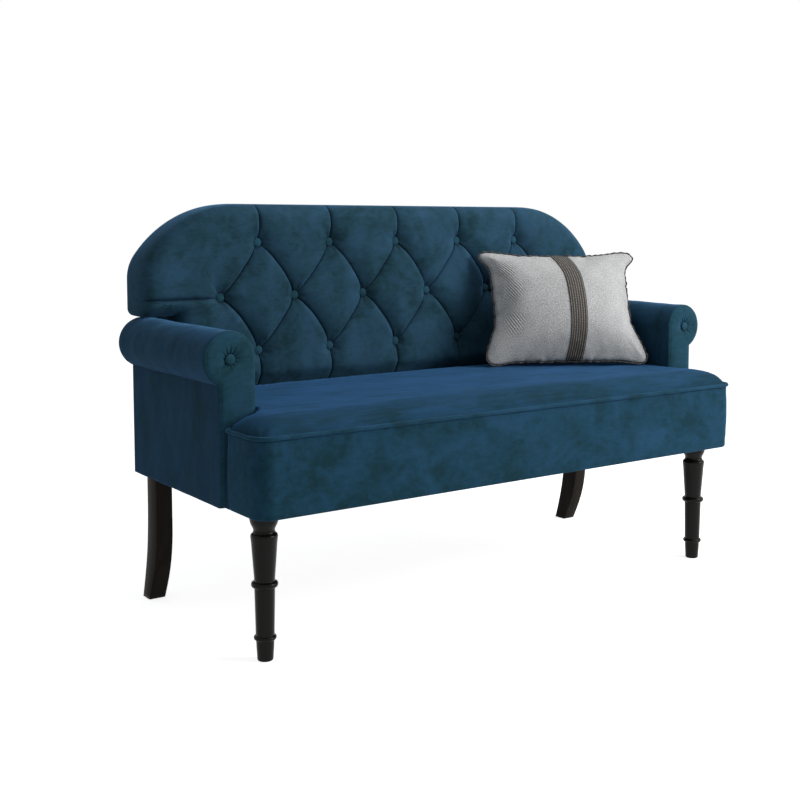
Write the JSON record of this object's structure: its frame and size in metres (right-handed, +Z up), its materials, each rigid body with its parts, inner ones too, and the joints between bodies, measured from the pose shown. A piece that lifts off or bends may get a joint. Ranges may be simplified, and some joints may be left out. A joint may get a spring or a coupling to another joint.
{
  "type": "loveseat",
  "caption": "Velvet loveseat with a diamond-tufted arched back, low rolled arms, a T-shaped bench seat, turned front legs, sabre rear legs and a lumbar pillow.",
  "frame": {"origin": "on the floor under the centre of the settee's bounding box", "axes": "+X along the width, to the right as one faces the settee from the front; +Y from the front to the back; +Z up"},
  "size_m": [1.3778, 0.6056, 0.8775],
  "materials": {
    "velvet": "deep teal blue cotton velvet with a soft mottled pile",
    "frame_wood": "planed hardwood and plywood, unfinished",
    "fibre_board": "formed fibre board, unfinished",
    "leg_wood": "near black stain under satin lacquer",
    "foam": "open-cell upholstery foam",
    "steel": "zinc plated",
    "webbing": "woven jute",
    "cambric": "black non-woven",
    "pillow_weave": "light heather grey weave",
    "ribbon": "dark brown grey ribbed ribbon"
  },
  "bodies": {
    "settee": {"arm_button_left": "velvet", "arm_button_right": "velvet", "arm_cover_left": "velvet", "arm_cover_right": "velvet", "arm_front_board_left": "frame_wood", "arm_front_board_right": "frame_wood", "arm_front_facing_left": "velvet", "arm_front_facing_right": "velvet", "arm_rear_board_left": "frame_wood", "arm_rear_board_right": "frame_wood", "arm_rear_facing_left": "velvet", "arm_rear_facing_right": "velvet", "arm_roll_core_left": "fibre_board", "arm_roll_core_right": "fibre_board", "back_bottom_rail": "frame_wood", "back_button_low_1": "velvet", "back_button_low_2": "velvet", "back_button_low_3": "velvet", "back_button_low_4": "velvet", "back_button_low_5": "velvet", "back_button_middle_1": "velvet", "back_button_middle_2": "velvet", "back_button_middle_3": "velvet", "back_button_middle_4": "velvet", "back_button_middle_5": "velvet", "back_button_middle_6": "velvet", "back_button_top_1": "velvet", "back_button_top_2": "velvet", "back_button_top_3": "velvet", "back_button_top_4": "velvet", "back_button_top_5": "velvet", "back_cover": "velvet", "back_foam": "foam", "back_outside_panel": "velvet", "back_side_board_left": "frame_wood", "back_side_board_right": "frame_wood", "back_top_rail": "frame_wood", "back_webbing": "webbing", "dust_cover": "cambric", "front_leg_left": "leg_wood", "front_leg_right": "leg_wood", "leg_board_front": "frame_wood", "leg_board_rear": "frame_wood", "leg_bolt_front_left": "steel", "leg_bolt_front_right": "steel", "leg_bolt_rear_left": "steel", "leg_bolt_rear_right": "steel", "rear_leg_left": "leg_wood", "rear_leg_right": "leg_wood", "seat_back_rail": "frame_wood", "seat_cover": "velvet", "seat_foam": "foam", "seat_front_rail": "frame_wood", "seat_side_rail_left": "frame_wood", "seat_side_rail_right": "frame_wood", "seat_spring_unit": "steel", "seat_welt": "velvet"},
    "pillow": {"pillow_band": "ribbon", "pillow_cushion": "pillow_weave", "pillow_trim": "ribbon"}
  },
  "joints": [
    {"name": "pillow_lift", "type": "slide", "parent": "settee", "child": "pillow", "axis": [0, -0.5, 0.866], "range_m": [0, 0.3]}
  ]
}
